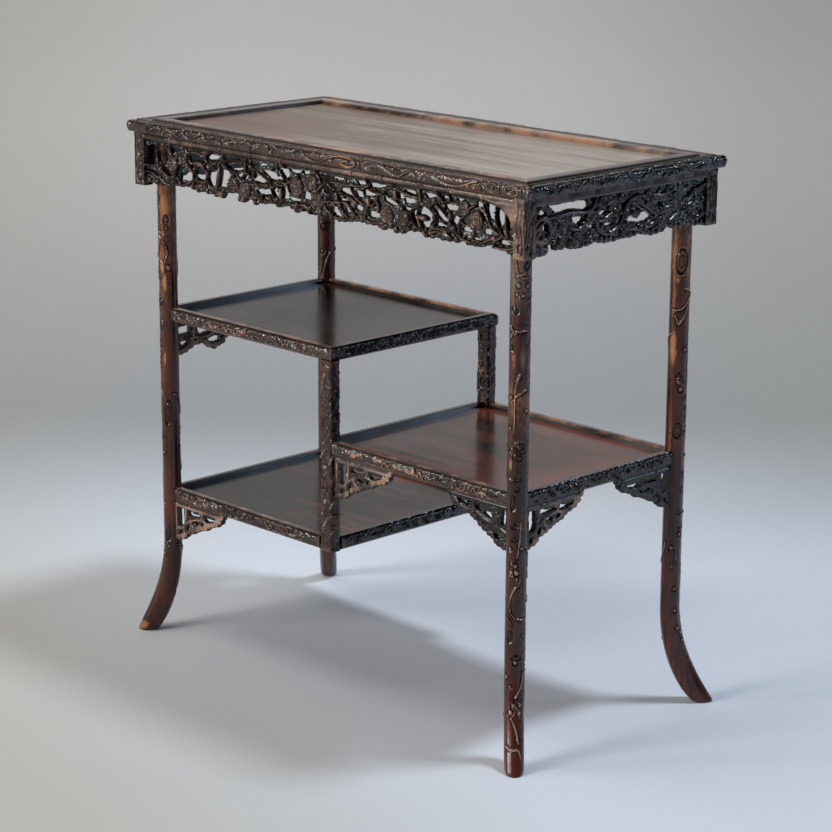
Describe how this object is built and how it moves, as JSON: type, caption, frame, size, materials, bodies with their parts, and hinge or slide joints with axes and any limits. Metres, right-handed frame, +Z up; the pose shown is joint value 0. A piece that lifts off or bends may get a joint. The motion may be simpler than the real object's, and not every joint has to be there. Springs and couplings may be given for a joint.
{
  "type": "display table",
  "caption": "Stepped display table: recessed panelled top on carved sabre legs, pierced blossom aprons, staggered framed shelves, square inner posts and pierced corner brackets.",
  "frame": {"origin": "centre of the footprint, on the floor", "axes": "+X runs along the length toward the end with the middle shelf, -Y is the front, +Z is up"},
  "size_m": [0.8308, 0.424, 0.8],
  "materials": {
    "carved_wood": "dark stained hardwood, waxed, carved in relief",
    "panel_wood": "polished, satin lacquer",
    "plain_wood": "planed and oiled",
    "peg_wood": "bare end grain"
  },
  "bodies": {
    "root": {"apron_back": "carved_wood", "apron_front": "carved_wood", "apron_left": "carved_wood", "apron_right": "carved_wood", "bracket_back_left": "carved_wood", "bracket_back_post": "carved_wood", "bracket_back_right": "carved_wood", "bracket_front_left": "carved_wood", "bracket_front_post": "carved_wood", "bracket_front_right": "carved_wood", "bracket_left_back": "carved_wood", "bracket_left_front": "carved_wood", "bracket_right_back": "carved_wood", "bracket_right_front": "carved_wood", "inner_post_back": "carved_wood", "inner_post_front": "carved_wood", "joint_pegs": "peg_wood", "leg_back_left": "carved_wood", "leg_back_right": "carved_wood", "leg_front_left": "carved_wood", "leg_front_right": "carved_wood", "lower_shelf_batten": "plain_wood", "lower_shelf_panel": "panel_wood", "lower_shelf_rail_back": "carved_wood", "lower_shelf_rail_front": "carved_wood", "lower_shelf_rail_left": "carved_wood", "lower_shelf_rail_right": "carved_wood", "middle_shelf_batten": "plain_wood", "middle_shelf_panel": "panel_wood", "middle_shelf_rail_back": "carved_wood", "middle_shelf_rail_front": "carved_wood", "middle_shelf_rail_left": "carved_wood", "middle_shelf_rail_right": "carved_wood", "top_batten_left": "plain_wood", "top_batten_right": "plain_wood", "top_panel": "panel_wood", "top_rail_back": "carved_wood", "top_rail_front": "carved_wood", "top_rail_left": "carved_wood", "top_rail_right": "carved_wood", "upper_shelf_batten": "plain_wood", "upper_shelf_panel": "panel_wood", "upper_shelf_rail_back": "carved_wood", "upper_shelf_rail_front": "carved_wood", "upper_shelf_rail_left": "carved_wood", "upper_shelf_rail_right": "carved_wood"}
  },
  "joints": []
}
